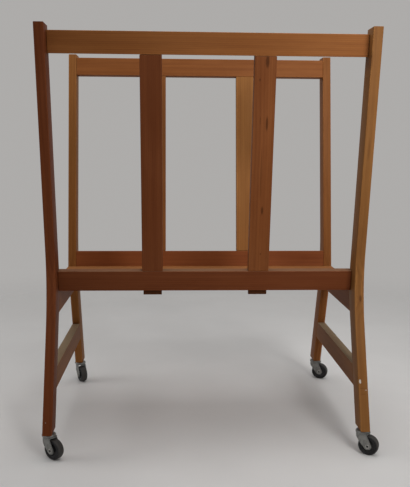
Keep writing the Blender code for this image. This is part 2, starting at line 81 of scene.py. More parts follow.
# Timber, as the frame has it
LEAN = radians(8.67)
SPLAY = radians(18.98)
BOARD_WIDE = 0.047
BOARD_THICK = 0.021
WAIST_OUT = 0.1835
WAIST_RADIUS = 0.360
INNER_UP = WAIST_OUT - BOARD_WIDE / cos(LEAN)
INNER_LOW = WAIST_OUT - BOARD_WIDE / cos(SPLAY)
POST_FOOT, POST_TOP = (corner.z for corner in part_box("post_front_left"))

# Edges that bend more than this stay sharp, and points closer together than this become one
SHARP = radians(35)
WELD = 0.00001

# Castors, as the frame has them, measured from the foot of the post
GAP = 0.0003
AXLE_DROP = 0.0365
TRAIL = 0.0145
CAP_TOP = -0.0035
CAP_LOW = -0.0078
CAP_RADIUS = 0.0155
CAP_THICK = 0.0012
CAP_BEND = 0.0026
CROWN_TOP = -0.0081
CROWN_BEND = 0.0030
PLATE_THICK = 0.0018
SKIRT = 0.0075
LEAD_END = 0.0145
NOSE_RADIUS = 0.0175
FORK_END_RADIUS = 0.0085
FORK_INNER = 0.0103
FORK_OUTER = FORK_INNER + PLATE_THICK
LEG_TOP = CROWN_TOP - 2 * PLATE_THICK
FORK_HIGH = AXLE_DROP + FORK_END_RADIUS + CROWN_TOP
STEM_HOLE = 0.0042
AXLE_RADIUS = 0.0034
AXLE_HEAD_RADIUS = 0.0054
AXLE_HEAD_THICK = 0.0015
DIMPLE_RADIUS = 0.0028
DIMPLE_DEEP = 0.0030
HUB_WIDE = 0.020
HUB_RADIUS = 0.0066
WEB_HALF = 0.003
RIM_RADIUS = 0.0160
RIM_WIDE = 0.015
RIM_THICK = 0.0025
TYRE_WIDE = 0.017
TYRE_SHOULDER = 0.0034
TYRE_RADIUS = (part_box("tyre_front_left")[1].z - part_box("tyre_front_left")[0].z) / 2
CUT_REACH = 4 * NOSE_RADIUS

# Screws: the turn from one to the next, and the shank and the recess as parts of the head's radius
SCREW_TURN = 1.1
SHANK_PART = 0.46
RECESS_LONG = 0.62
RECESS_WIDE = 0.14

# Faces round the posts' waist, each turned piece and the tools that cut the fork
WAIST_STEPS = 28
CAP_STEPS = 64
NOSE_STEPS = 64
BORE_STEPS = 32
TYRE_STEPS = 72
WHEEL_STEPS = 56
AXLE_STEPS = 40
SCREW_STEPS = 32

# Timber figure: how gently the grain follows a post round its waist, the pith's place across and
# through a board, growth rings per metre, and for each group of boards the first board's seed and
# the step to the next
WAIST_BLEND = 0.03
PITH_ASIDE = 0.055
PITH_DEEP = 0.030
RINGS = 270.0
SEEDS = {
    "post": (1.3, 2.1),
    "rail": (20.0, 3.3),
    "slat": (40.0, 2.7),
    "cross": (60.0, 3.9),
    "shelf": (81.0, 0.0),
}

# Camera of the photograph: its frame, focal length in pixels, place and turn
FRAME_HIGH = 487
FOCAL_PIXELS = 695.4
CAMERA_PLACE = Vector((-0.0773, -1.7381, 0.3159))
CAMERA_PITCH = radians(7.701)
CAMERA_YAW = radians(2.692)
CAMERA_ROLL = radians(0.352)

# Floor disc, the radii between which it fades out, and the strength of the even light
FLOOR_RADIUS = 3.4
FADE_START = 0.7
FADE_END = 2.3
AMBIENT = 0.24

# Places of a mix node's colours among its sockets
MIX_FIRST = 6
MIX_SECOND = 7
MIX_RESULT = 2

# Lamps: place, target, size, watts and spread in degrees
LAMPS = {
    "overhead": ((0.0, 0.1, 2.1), (0.0, 0.0, 0.0), (1.6, 1.4), 17.0, 180),
    "over_front": ((0.0, -1.0, 2.2), (0.0, 0.0, 0.1), (1.4, 1.0), 3.5, 180),
    "left": ((-2.2, 0.0, 1.0), (0.0, 0.0, 0.1), (1.2, 1.2), 9.8, 180),
    "right": ((0.6, -1.5, 1.0), (0.55, -0.2, 0.4), (0.6, 0.6), 5.0, 85),
}


class RackSizes(bpy.types.PropertyGroup):
    """Small sizes of the finish that the frame leaves open."""

    arris: FloatProperty(
        name="Arris", description="Rounding of the posts' long edges",
        default=0.0013, min=0.0002, max=0.004, unit="LENGTH")
    fork_edge: FloatProperty(
        name="Fork edge", description="Rounding of the fork's sheared edges",
        default=0.0003, min=0.0001, max=0.0008, unit="LENGTH")
    tread_crown: FloatProperty(
        name="Tread crown", description="How much lower the tread is at its shoulders",
        default=0.0004, min=0.0, max=0.002, unit="LENGTH")
    recess: FloatProperty(
        name="Screw recess", description="Depth of the cross in a screw's head",
        default=0.0012, min=0.0004, max=0.002, unit="LENGTH")
    grain: FloatProperty(
        name="Grain", description="Strength of the timber's figure",
        default=1.0, min=0.0, max=2.0, subtype="FACTOR")


class RackColours(bpy.types.PropertyGroup):
    """Colours that a user would change."""

    wood_light: FloatVectorProperty(
        name="Light wood", description="Early growth between the grain lines",
        default=(0.279, 0.105, 0.030), size=3, subtype="COLOR", min=0.0, max=1.0)
    wood_dark: FloatVectorProperty(
        name="Dark wood", description="Grain lines and pores",
        default=(0.136, 0.042, 0.012), size=3, subtype="COLOR", min=0.0, max=1.0)
    dust: FloatVectorProperty(
        name="Dust", description="Thin dust on what faces up",
        default=(0.307, 0.229, 0.143), size=3, subtype="COLOR", min=0.0, max=1.0)
    bare_wood: FloatVectorProperty(
        name="Bare wood", description="Pale chips in the finish",
        default=(0.50, 0.47, 0.42), size=3, subtype="COLOR", min=0.0, max=1.0)
    clouding: FloatVectorProperty(
        name="Clouding", description="Multiplies the timber where the finish is cloudy",
        default=(0.80, 0.72, 0.62), size=3, subtype="COLOR", min=0.0, max=1.0)
    zinc: FloatVectorProperty(
        name="Zinc", description="Dull plating on forks, caps and sockets",
        default=(0.250, 0.250, 0.238), size=3, subtype="COLOR", min=0.0, max=1.0)
    steel: FloatVectorProperty(
        name="Steel", description="Rivets, stems and screws",
        default=(0.340, 0.332, 0.315), size=3, subtype="COLOR", min=0.0, max=1.0)
    # Also the painted shade in the hollow ends of the axle rivets
    grease_and_shade: FloatVectorProperty(
        name="Grease", description="Old grease and dirt on the metal",
        default=(0.012, 0.011, 0.009), size=3, subtype="COLOR", min=0.0, max=1.0)
    rubber: FloatVectorProperty(
        name="Rubber", description="Tyres",
        default=(0.005, 0.005, 0.006), size=3, subtype="COLOR", min=0.0, max=1.0)
    wheel: FloatVectorProperty(
        name="Wheel", description="Moulded wheel centres",
        default=(0.015, 0.015, 0.016), size=3, subtype="COLOR", min=0.0, max=1.0)
    # Also paints sheen on the tyres' treads
    floor_dust_and_sheen: FloatVectorProperty(
        name="Floor dust", description="Dust picked up by tyres and wheels",
        default=(0.080, 0.071, 0.062), size=3, subtype="COLOR", min=0.0, max=1.0)
    floor: FloatVectorProperty(
        name="Floor", description="Floor under the rack",
        default=(0.75, 0.735, 0.72), size=3, subtype="COLOR", min=0.0, max=1.0)
    background: FloatVectorProperty(
        name="Background", description="What shows beyond the floor",
        default=(0.42, 0.41, 0.40), size=3, subtype="COLOR", min=0.0, max=1.0)


class Wire:
    """A socket of a node tree that takes part in expressions."""

    def __init__(self, nodes, socket):
        self.nodes = nodes
        self.socket = socket

    def math(self, operation, *others):
        """The operation with this socket as its first operand."""
        values = dict(enumerate((self, *others)))
        return self.nodes.add("ShaderNodeMath", {"operation": operation}, values)

    def reflected(self, operation, other):
        """The operation with this socket as its second operand."""
        return self.nodes.add("ShaderNodeMath", {"operation": operation}, {0: other, 1: self})

    def output(self, name):
        """Another output of the same node."""
        return Wire(self.nodes, self.socket.node.outputs[name])

    def __add__(self, other):
        return self.math("ADD", other)

    def __radd__(self, other):
        return self.reflected("ADD", other)

    def __sub__(self, other):
        return self.math("SUBTRACT", other)

    def __rsub__(self, other):
        return self.reflected("SUBTRACT", other)

    def __mul__(self, other):
        return self.math("MULTIPLY", other)

    def __rmul__(self, other):
        return self.reflected("MULTIPLY", other)

    def __truediv__(self, other):
        return self.math("DIVIDE", other)

    def __rtruediv__(self, other):
        return self.reflected("DIVIDE", other)

    def __pow__(self, other):
        return self.math("POWER", other)

    def __rpow__(self, other):
        return self.reflected("POWER", other)

    def __abs__(self):
        return self.math("ABSOLUTE")

    def smooth(self, low, high):
        """0 below low, 1 above high, and a smooth step between them; low may be above high."""
        settings = {"interpolation_type": "SMOOTHSTEP"}
        values = {"Value": self, "From Min": min(low, high), "From Max": max(low, high)}
        step = self.nodes.add("ShaderNodeMapRange", settings, values)
        return step if low < high else 1 - step


class Nodes:
    """Makes and links the nodes of one tree."""

    def __init__(self, tree):
        self.tree = tree

    def add(self, kind, settings=None, values=None, output=0):
        """A node of a type with its settings, and its inputs' values or links."""
        made = self.tree.nodes.new(kind)
        for key, value in (settings or {}).items():
            setattr(made, key, value)
        for key, value in (values or {}).items():
            self.feed(made.inputs[key], value)
        return Wire(self, made.outputs[output]) if made.outputs else made

    def feed(self, socket, value):
        if isinstance(value, Wire):
            self.tree.links.new(value.socket, socket)
        else:
            socket.default_value = value

    def point(self):
        """Place on the piece, in its own axes."""
        return self.add("ShaderNodeTexCoord", output="Object")

    def facing(self, direction):
        """How far the surface faces a direction, from -1 to 1."""
        return self.dot(self.add("ShaderNodeNewGeometry", output="Normal"), direction)

    def dot(self, vector, direction):
        values = {0: vector, 1: tuple(direction)}
        return self.add("ShaderNodeVectorMath", {"operation": "DOT_PRODUCT"}, values, "Value")

    def away(self, vector, place=(0.0, 0.0, 0.0)):
        """Distance from a place."""
        values = {0: vector, 1: tuple(place)}
        return self.add("ShaderNodeVectorMath", {"operation": "DISTANCE"}, values, "Value")

    def vector(self, x, y, z):
        return self.add("ShaderNodeCombineXYZ", None, {0: x, 1: y, 2: z})

    def noise(self, vector, scale=1.0, detail=2.0, roughness=0.5):
        values = {"Vector": vector, "Scale": scale, "Detail": detail, "Roughness": roughness}
        return self.add("ShaderNodeTexNoise", None, values)

    def blend(self, first, second, factor, blend_type="MIX"):
        """Two colours mixed by a factor that is kept between 0 and 1."""
        settings = {"data_type": "RGBA", "blend_type": blend_type, "clamp_factor": True}
        values = {0: factor, MIX_FIRST: opaque(first), MIX_SECOND: opaque(second)}
        return self.add("ShaderNodeMix", settings, values, MIX_RESULT)

    def seen(self):
        """1 for camera, glossy and transmission rays, and 0 for light."""
        camera = self.add("ShaderNodeLightPath", output="Is Camera Ray")
        rays = camera.math("MAXIMUM", camera.output("Is Glossy Ray"))
        return rays.math("MAXIMUM", camera.output("Is Transmission Ray"))


class Recipe(Nodes):
    """One material and the nodes that feed its shader."""

    def __init__(self, name, **constants):
        self.material = bpy.data.materials.new(name)
        self.material.use_nodes = True
        super().__init__(self.material.node_tree)
        self.shader = self.tree.nodes["Principled BSDF"]
        for socket, value in constants.items():
            self.set(socket.replace("_", " "), value)

    def set(self, name, value):
        self.feed(self.shader.inputs[name], value)

    def bump(self, height, distance, strength):
        values = {"Height": height, "Distance": distance, "Strength": strength}
        self.set("Normal", self.add("ShaderNodeBump", None, values))


def opaque(colour):
    """A colour socket's value, or the wire as it is."""
    return colour if isinstance(colour, Wire) else (*colour, 1.0)


def shade(colour, amount):
    """A colour made darker or paler."""
    return tuple(amount * channel for channel in colour)


# Finishes

def stained_and_shaded(colour, tone_and_shade, warmth):
    """Timber colour at a tone, partly painted shade, where darker is redder too, and at its own warmth."""
    red, green, blue = colour
    return (tone_and_shade * red, tone_and_shade ** 1.6 * green / warmth, tone_and_shade ** 1.3 * blue / warmth)


class Grain:
    """Axes of a timber piece, in metres from its centre line: along, across and through it.

    A bent piece is a post, whose centre line leans out above the waist and splays out below it.
    """

    def __init__(self, recipe, along, across, centre, bent=False):
        along = Vector(along).normalized()
        across = Vector(across).normalized()
        self.along = along
        self.axes = (along, across, along.cross(across))
        self.centre = Vector(centre)
        self.bent = bent
        place = recipe.point()
        u, v, w = (recipe.dot(place, axis) - self.centre.dot(axis) for axis in self.axes)
        if bent:
            v = v - self.out_at(recipe.dot(place, UP))
        self.u = u
        self.v = v
        self.w = w

    def out_at(self, height):
        """How far out a post's centre line is at a height, as a value or as a wire."""
        if isinstance(height, Wire):
            return (height * tan(LEAN)).math("SMOOTH_MAX", height * -tan(SPLAY), WAIST_BLEND)
        return max(height * tan(LEAN), height * -tan(SPLAY))

    def from_spot(self, spot):
        """Distances along, across and through the piece from a spot on it."""
        u, v, w = ((Vector(spot) - self.centre).dot(axis) for axis in self.axes)
        if self.bent:
            v -= self.out_at(spot[2])
        return self.u - u, self.v - v, self.w - w


def wood_finish(name, grain_axes, half, tone_and_shade, seed, streaks=(), chips=(), dust=0.3):
    """Clear-finished timber whose grain runs along a piece.

    half holds half the piece's width and half its thickness, for the worn arrises. The tone holds its
    tone, partly painted shade, and its warmth. Streaks are dark marks, among them painted shade on a
    slat's tenon, and chips are pale ones, each a place with its half length, half width and strength.
    """
    colours = bpy.context.scene.rack_colours
    contrast = bpy.context.scene.rack_sizes.grain
    recipe = Recipe(name, Metallic=0.0, Coat_Weight=0.0, Specular_IOR_Level=0.06)
    grain = Grain(recipe, *grain_axes)
    u, v, w = grain.u, grain.v, grain.w
    light = stained_and_shaded(colours.wood_light, *tone_and_shade)
    dark = stained_and_shaded(colours.wood_dark, *tone_and_shade)

    slow = recipe.noise(recipe.vector(u * 1.6 + seed, v * 9.0, w * 9.0))
    wander = recipe.noise(recipe.vector(u * 3.5, v * 40.0 + seed, w * 40.0))
    from_pith_v = v + (PITH_ASIDE + 0.02 * sin(seed))
    from_pith_w = w - (PITH_DEEP - 0.012 * cos(1.7 * seed))
    from_pith = (from_pith_v ** 2.0 + from_pith_w ** 2.0) ** 0.5
    ring = ((from_pith + slow * 0.014 + wander * 0.0020) * RINGS).math("FRACT")
    late = ring.smooth(0.30, 0.88) * ring.smooth(1.0, 0.90)
    bands = recipe.noise(recipe.vector(u * 2.6, v * 150.0 + seed, w * 150.0), 1.0, 3.0, 0.6)
    fine = recipe.noise(recipe.vector(u * 14.0, v * 900.0, w * 900.0 + seed), 1.0, 3.0, 0.6)
    pore = recipe.noise(recipe.vector(u * 45.0 + seed, v * 2600.0, w * 2600.0), 1.0, 1.0).smooth(0.60, 0.74)
    figure = late * 0.18 + fine * 0.34 + pore * 0.14 + slow * 0.30 + bands.smooth(0.30, 0.72) * 0.26 - 0.15
    colour = recipe.blend(light, dark, 0.45 + contrast * (figure - 0.45))
    cloud = recipe.noise(recipe.vector(u * 6.0, v * 22.0, w * 22.0 + seed), 1.0, 3.0, 0.55)
    colour = recipe.blend(colour, colours.clouding, cloud.smooth(0.36, 0.66) * 0.45 * contrast, "MULTIPLY")

    end = abs(recipe.facing(grain.along)).smooth(0.80, 0.93)
    colour = recipe.blend(colour, shade(dark, 0.62), end * 0.80)

    edge = (half[0] - abs(v)) + (half[1] - abs(w))
    worn = edge.smooth(0.0022, 0.0006) * fine.smooth(0.38, 0.62)
    colour = recipe.blend(colour, shade(light, 1.40), worn * 0.45)

    # Dark streaks of the timber, and painted shade on each slat's tenon under the lower rail
    for spot, half_long, half_wide, strength in streaks:
        du, dv, dw = grain.from_spot(spot)
        aside = (dw if grain.bent else dv) + (wander - 0.5) * 0.0020
        mark = ((du / half_long) ** 2.0 + (aside / half_wide) ** 2.0).smooth(1.0, 0.10)
        colour = recipe.blend(colour, shade(colours.wood_dark, 0.40), mark * strength)

    up = recipe.facing(UP).smooth(0.55, 0.95)
    specks = recipe.noise(recipe.point(), 260.0, 3.0, 0.7)
    settled = up * (cloud * 0.6 + specks * 0.6).smooth(0.25, 0.65)
    colour = recipe.blend(colour, colours.dust, settled * dust)
    for spot, half_long, half_wide, strength in chips:
        du, dv, dw = grain.from_spot(spot)
        reach = (du / half_long) ** 2.0 + ((dv ** 2.0 + dw ** 2.0) ** 0.5 / half_wide) ** 2.0
        mark = (reach + specks * 0.9).smooth(1.25, 0.85)
        colour = recipe.blend(colour, colours.bare_wood, mark * strength)

    recipe.set("Base Color", colour)
    recipe.set("Roughness", 0.46 + 0.10 * fine + 0.12 * end + 0.20 * settled - 0.06 * worn)
    recipe.bump(fine * 0.6 - pore * 0.8 - late * 0.25, 0.00006, 0.55)
    return recipe.material


def metal_finish(name, colour, roughness, spots=0.5, hollow=0.0):
    """Plated or plain steel with faint brushing, dull patches and grime.

    Within the hollow radius of the piece's own Z axis the colour is near black: painted shade in a rivet's
    hollow end.
    """
    grease_and_shade = bpy.context.scene.rack_colours.grease_and_shade
    recipe = Recipe(name)
    place = recipe.point()
    patches = recipe.noise(place, 120.0, 4.0, 0.6)
    fine = recipe.noise(place, 1500.0, 2.0, 0.6)
    dull = patches.smooth(0.40, 0.68)
    plating = recipe.blend(colour, shade(colour, 0.62), dull * spots)
    grime_and_shade = recipe.noise(place, 320.0, 3.0, 0.65).smooth(0.58, 0.74) * 0.45 * spots
    # Painted shade: near black inside the hollow end of a rivet
    if hollow:
        flat = recipe.vector(recipe.dot(place, RIGHT), recipe.dot(place, BACK), 0.0)
        grime_and_shade = grime_and_shade.math("MAXIMUM", recipe.away(flat).smooth(hollow, 0.92 * hollow) * 0.96)
    recipe.set("Base Color", recipe.blend(plating, grease_and_shade, grime_and_shade))
    recipe.set("Metallic", 1.0 - 0.9 * grime_and_shade)
    recipe.set("Roughness", roughness + 0.16 * dull + 0.10 * fine + 0.25 * grime_and_shade)
    recipe.bump(fine + patches * 0.5, 0.00003, 0.5)
    return recipe.material


def moulded_finish(name, colour, roughness, dust, tread=0.0):
    """Moulded rubber or plastic, matt skin, floor dust mostly on the tread, which is partly painted sheen.
    """
    floor_dust_and_sheen = bpy.context.scene.rack_colours.floor_dust_and_sheen
    recipe = Recipe(name, Metallic=0.0, Specular_IOR_Level=0.35)
    place = recipe.point()
    clouds = recipe.noise(place, 170.0, 4.0, 0.6)
    skin = recipe.noise(place, 2400.0, 2.0, 0.5)
    dust_and_sheen = clouds.smooth(0.42, 0.72)
    # The paler tread is floor dust and painted sheen
    if tread:
        dust_and_sheen = dust_and_sheen * 0.25 + recipe.away(place).smooth(0.94 * tread, 1.01 * tread) * 0.75
    recipe.set("Base Color", recipe.blend(colour, floor_dust_and_sheen, dust_and_sheen * dust))
    recipe.set("Roughness", roughness + 0.15 * dust_and_sheen + 0.08 * skin)
    recipe.bump(skin + clouds * 0.4, 0.00005, 0.5)
    return recipe.material


def dress(node, material):
    """Give a frame node its finish."""
    data = frame["nodes"][node].data
    data.materials.clear()
    data.materials.append(material)


# Modelling helpers

def loose(name, mesh, matrix=None):
    """An object in the scene that belongs to no body yet."""
    item = bpy.data.objects.new(name, mesh)
    bpy.context.scene.collection.objects.link(item)
    item.matrix_world = matrix or Matrix.Identity(4)
    return item


def add_piece(node, mesh, matrix, material, body):
    """A finished piece that rides on a body and stands for one frame node."""
    item = loose(node + "_finished", mesh, matrix)
    mesh.name = item.name
    mesh.materials.clear()
    mesh.materials.append(material)
    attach(item, body)
    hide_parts(node)


def mesh_of(shape, name):
    """A mesh from a finished bmesh."""
    mesh = bpy.data.meshes.new(name)
    shape.to_mesh(mesh)
    shape.free()
    return mesh


def taken_mesh(item, name, angle=SHARP):
    """The item's mesh after its modifiers, shaded smooth between its sharp edges."""
    bpy.context.view_layer.update()
    graph = bpy.context.evaluated_depsgraph_get()
    mesh = bpy.data.meshes.new_from_object(item.evaluated_get(graph))
    mesh.name = name
    shape = bmesh.new()
    shape.from_mesh(mesh)
    bmesh.ops.remove_doubles(shape, verts=shape.verts, dist=WELD)
    bmesh.ops.recalc_face_normals(shape, faces=shape.faces)
    shape.to_mesh(mesh)
    shape.free()
    mesh.shade_smooth()
    mesh.set_sharp_from_angle(angle=angle)
    bpy.data.objects.remove(item, do_unlink=True)
    return mesh


def turned(name, profile, steps, ring=True, angle=SHARP):
    """Mesh of a (radius, height) profile turned about Z; it runs down its outer side."""
    edges = [(i, i + 1) for i in range(len(profile) - 1)]
    if ring:
        edges.append((len(profile) - 1, 0))
    mesh = bpy.data.meshes.new(name)
    mesh.from_pydata([(radius, 0.0, height) for radius, height in profile], edges, [])
    item = loose(name, mesh)
    screw = item.modifiers.new("Turn", "SCREW")
    screw.steps = steps
    screw.render_steps = steps
    screw.use_merge_vertices = True
    screw.merge_threshold = WELD
    return taken_mesh(item, name, angle)


def plate(name, outline, low, high):
    """Mesh of a flat outline in XY between two heights."""
    shape = bmesh.new()
    shape.faces.new([shape.verts.new((x, y, low)) for x, y in outline])
    raised = bmesh.ops.extrude_face_region(shape, geom=shape.faces[:])["geom"]
    corners = [part for part in raised if isinstance(part, bmesh.types.BMVert)]
    bmesh.ops.translate(shape, vec=(0.0, 0.0, high - low), verts=corners)
    bmesh.ops.recalc_face_normals(shape, faces=shape.faces)
    return mesh_of(shape, name)


def block(name, low, high):
    """Mesh of a box between two opposite corners."""
    shape = bmesh.new()
    bmesh.ops.create_cube(shape, size=1.0)
    bmesh.ops.scale(shape, vec=Vector(high) - Vector(low), verts=shape.verts)
    bmesh.ops.translate(shape, vec=(Vector(low) + Vector(high)) / 2, verts=shape.verts)
    return mesh_of(shape, name)


def soften(item, width, segments):
    """Round every sharp edge of an item."""
    bevel = item.modifiers.new("Soft edges", "BEVEL")
    bevel.width = width
    bevel.segments = segments
    bevel.limit_method = "ANGLE"
    bevel.angle_limit = SHARP


def combine(item, others, operation):
    """Cut an item by others, or keep what it shares with them."""
    for other in others:
        boolean = item.modifiers.new(operation.title(), "BOOLEAN")
        boolean.operation = operation
        boolean.solver = "EXACT"
        boolean.object = other


def round_top(mesh, width, segments, far):
    """Round the edge of a plate's top face, apart from where it is further out than far."""
    shape = bmesh.new()
    shape.from_mesh(mesh)
    top = max(vertex.co.z for vertex in shape.verts) - WELD
    edges = [
        edge for edge in shape.edges
        if min(vertex.co.z for vertex in edge.verts) > top
        and min(vertex.co.x for vertex in edge.verts) < far
    ]
    bmesh.ops.bevel(shape, geom=edges, offset=width, segments=segments, profile=0.5, affect="EDGES")
    shape.to_mesh(mesh)
    shape.free()


def arc(centre, radius, first, last, steps):
    """Points round a centre from one bearing to another."""
    angles = [first + (last - first) * i / steps for i in range(steps + 1)]
    return [(centre[0] + radius * cos(a), centre[1] + radius * sin(a)) for a in angles]


def tangent_angle(point, centre, radius, turn):
    """Bearing from the centre of the point where a line from the point touches the circle."""
    dx = point[0] - centre[0]
    dy = point[1] - centre[1]
    return atan2(dy, dx) + turn * acos(radius / (dx * dx + dy * dy) ** 0.5)


def both_halves(half_profile):
    """A profile whose upper half is given, with its mirror image below."""
    return half_profile + [(radius, -height) for radius, height in reversed(half_profile)]


# Timber

def lean_axis(side):
    """Direction that runs up a panel."""
    return Vector((0.0, side * sin(LEAN), cos(LEAN)))


def inner_leg(height):
    """How far out a leg's inner face is at a height below the waist."""
    return INNER_LOW - height * tan(SPLAY)


def post_outline(side):
    """Outline of a post in (y, z)."""
    rise = WAIST_RADIUS * tan((LEAN + SPLAY) / 2)
    centre = (
        WAIST_OUT + rise * sin(LEAN) + WAIST_RADIUS * cos(LEAN),
        rise * cos(LEAN) - WAIST_RADIUS * sin(LEAN),
    )
    kink_z = (INNER_LOW - INNER_UP) / (tan(LEAN) + tan(SPLAY))
    points = [(INNER_UP + POST_TOP * tan(LEAN), POST_TOP), (inner_leg(kink_z), kink_z)]
    points.append((inner_leg(POST_FOOT), POST_FOOT))
    points.append((inner_leg(POST_FOOT) + BOARD_WIDE / cos(SPLAY), POST_FOOT))
    points += arc(centre, WAIST_RADIUS, pi + SPLAY, pi - LEAN, WAIST_STEPS)
    points.append((WAIST_OUT + POST_TOP * tan(LEAN), POST_TOP))
    return [(side * y, z) for y, z in points]


# Tone and warmth of each timber piece. The tones are partly the timber's own and partly painted shade:
# the front left post, the front left slat and the lower front rail are darker where less light reaches
# them.
POST_TONES_AND_SHADE = {
    "front_left": (0.62, 1.0),
    "front_right": (0.93, 0.81),
    "rear_left": (1.16, 1.0),
    "rear_right": (0.98, 0.97),
}
SLAT_TONES_AND_SHADE = {
    "front_left": (0.64, 0.95),
    "front_right": (0.83, 1.0),
    "rear_left": (1.0, 1.0),
    "rear_right": (1.20, 0.98),
}
RAIL_TONES_AND_SHADE = {
    "top_rail_front": (1.05, 1.03),
    "lower_rail_front": (0.62, 0.97),
    "top_rail_rear": (1.10, 1.12),
    "lower_rail_rear": (0.92, 1.22),
}
CROSS_TONES = {
    "cross_rail_left": (0.9, 1.0),
    "cross_rail_right": (0.9, 1.0),
    "stretcher_left": (0.9, 0.9),
    "stretcher_right": (0.93, 0.9),
}
SHELF_TONE = (1.25, 1.12)

# Dust on what faces up
SHELF_DUST = 0.1
CROSS_DUST = 0.95

# Marks on the timber: place, half length, half width and strength. A tenon's end mark has no place;
# it is painted shade on the tenon where it comes through under the lower rail.
TENON_SHADE_MARK = (0.030, 0.060, 0.95)
SLAT_STREAKS = {
    "front_right": [
        ((0.1240, -0.2330, 0.5020), 0.0170, 0.0052, 0.75),
        ((0.1091, -0.2279, 0.4635), 0.0040, 0.0022, 0.60),
        ((0.1275, -0.2140, 0.3720), 0.0190, 0.0034, 0.70),
        ((0.1130, -0.2150, 0.3780), 0.0120, 0.0016, 0.40),
        ((0.1185, -0.1990, 0.2600), 0.0750, 0.0018, 0.45),
        ((0.1236, -0.1850, 0.1800), 0.0120, 0.0034, 0.75),
        ((0.1235, -0.1700, 0.0790), 0.0030, 0.0022, 0.55),
    ],
}
POST_STREAKS = {
    "front_right": [
        ((0.3518, -0.1905, -0.0200), 0.0100, 0.0040, 0.55),
        ((0.3401, -0.2603, 0.5038), 0.0240, 0.0030, 0.35),
        ((0.3489, -0.2318, 0.3169), 0.0300, 0.0030, 0.25),
        ((0.3480, -0.2560, -0.2120), 0.0016, 0.0090, 0.30),
        ((0.3480, -0.2590, -0.2240), 0.0014, 0.0080, 0.25),
    ],
}
POST_CHIPS = {
    "front_right": [
        ((0.3428, -0.2515, -0.1978), 0.0055, 0.0030, 0.95),
        ((0.3554, -0.2578, -0.2159), 0.0014, 0.0028, 0.50),
    ],
    "front_left": [((-0.3533, -0.2782, -0.2754), 0.0014, 0.0014, 0.45)],
}


def seed_of(group, number=0):
    """Seed of a board's figure, so that no two boards look alike."""
    first, step = SEEDS[group]
    return first + step * number


def make_post(corner, number, arris):
    side = SIDES[corner.split("_")[0]]
    node = "post_" + corner
    low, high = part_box(node)
    x = (low.x + high.x) / 2
    item = loose(node, plate(node, post_outline(side), -BOARD_THICK / 2, BOARD_THICK / 2))
    soften(item, arris, segments=3)
    mesh = taken_mesh(item, node)
    mesh.transform(Matrix(((0, 0, 1, x), (1, 0, 0, 0), (0, 1, 0, 0), (0, 0, 0, 1))))
    centre = (x, side * (WAIST_OUT - BOARD_WIDE / 2), 0.0)
    material = wood_finish(
        node, (UP, side * BACK, centre, True), (BOARD_WIDE / 2, BOARD_THICK / 2),
        POST_TONES_AND_SHADE[corner], seed_of("post", number),
        streaks=POST_STREAKS.get(corner, ()), chips=POST_CHIPS.get(corner, ()))
    add_piece(node, mesh, None, material, "frame")


def finish_board(node, along, across, tone_and_shade, seed, half=(BOARD_WIDE / 2, BOARD_THICK / 2), **marks):
    """Give a straight frame board its timber finish."""
    low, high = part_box(node)
    dress(node, wood_finish(node, (along, across, (low + high) / 2), half, tone_and_shade, seed, **marks))


def make_rails():
    for number, (node, tone_and_shade) in enumerate(RAIL_TONES_AND_SHADE.items()):
        side = SIDES[node.split("_")[-1]]
        finish_board(node, RIGHT, lean_axis(side), tone_and_shade, seed_of("rail", number))


def make_slats():
    """The slats' finish, with painted shade on the tenons that come through below."""
    for number, corner in enumerate(CORNERS):
        node = "slat_" + corner
        along = lean_axis(SIDES[corner.split("_")[0]])
        low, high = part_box(node)
        # Painted shade on the tenon where it comes through under the lower rail
        tip = (low + high) / 2 - along * (high.z - low.z) / 2
        finish_board(
            node, along, RIGHT, SLAT_TONES_AND_SHADE[corner], seed_of("slat", number),
            streaks=((tip, *TENON_SHADE_MARK), *SLAT_STREAKS.get(corner, ())))


def make_cross_pieces():
    for number, (node, tone_and_shade) in enumerate(CROSS_TONES.items()):
        finish_board(node, BACK, UP, tone_and_shade, seed_of("cross", number), dust=CROSS_DUST)


def make_shelf():
    low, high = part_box("shelf")
    half = (high - low) / 2
    finish_board(
        "shelf", RIGHT, BACK, SHELF_TONE, seed_of("shelf"), (half.y, half.z), dust=SHELF_DUST)


# Screws

def screw_mesh(name, low, high, recess):
    """Countersunk screw with a cross recess, about its own axis, its head's top at height 0."""
    radius = (high.x - low.x) / 2
    shank = SHANK_PART * radius
    length = high.z - low.z
    rim = 0.0002
    taper = 0.0024
    profile = [
        (0.0, 0.0),
        (radius - rim, 0.0),
        (radius, -rim),
        (radius, -2 * rim),
        (shank, -2 * rim - taper),
        (shank, 2 * shank - length),
        (0.0, -length),
    ]
    head = loose(name, turned(name, profile, SCREW_STEPS, ring=False))
    arm = RECESS_LONG * radius
    thin = RECESS_WIDE * radius
    cutters = [
        loose(name + "_slot", block(name, (-wide, -deep, -recess), (wide, deep, recess)))
        for wide, deep in ((arm, thin), (thin, arm))
    ]
    combine(head, cutters, "DIFFERENCE")
    mesh = taken_mesh(head, name)
    for cutter in cutters:
        bpy.data.objects.remove(cutter, do_unlink=True)
    return mesh


def make_screw(node, number, finish, recess):
    low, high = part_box(node)
    mesh = screw_mesh(node, low, high, recess)
    place = Matrix.Translation(((low.x + high.x) / 2, (low.y + high.y) / 2, high.z))
    turn = Matrix.Rotation(SCREW_TURN * number, 4, "Z")
    add_piece(node, mesh, place @ turn, finish, "frame")


# Castors

def castor_places(corner):
    """Matrices of a castor's foot, its swivelled fork and its axle, from the frame's joints."""
    roll = JOINTS["roll_" + corner]
    foot = Matrix.Translation(JOINTS["swivel_" + corner]["pos_m"])
    axis = Vector(roll["axis"]).normalized()
    turn = Matrix((axis.cross(UP), axis, UP)).transposed().to_4x4()
    axle = Matrix.Translation(roll["pos_m"]) @ turn @ Matrix.Rotation(pi / 2, 4, "X")
    return foot, foot @ turn, axle


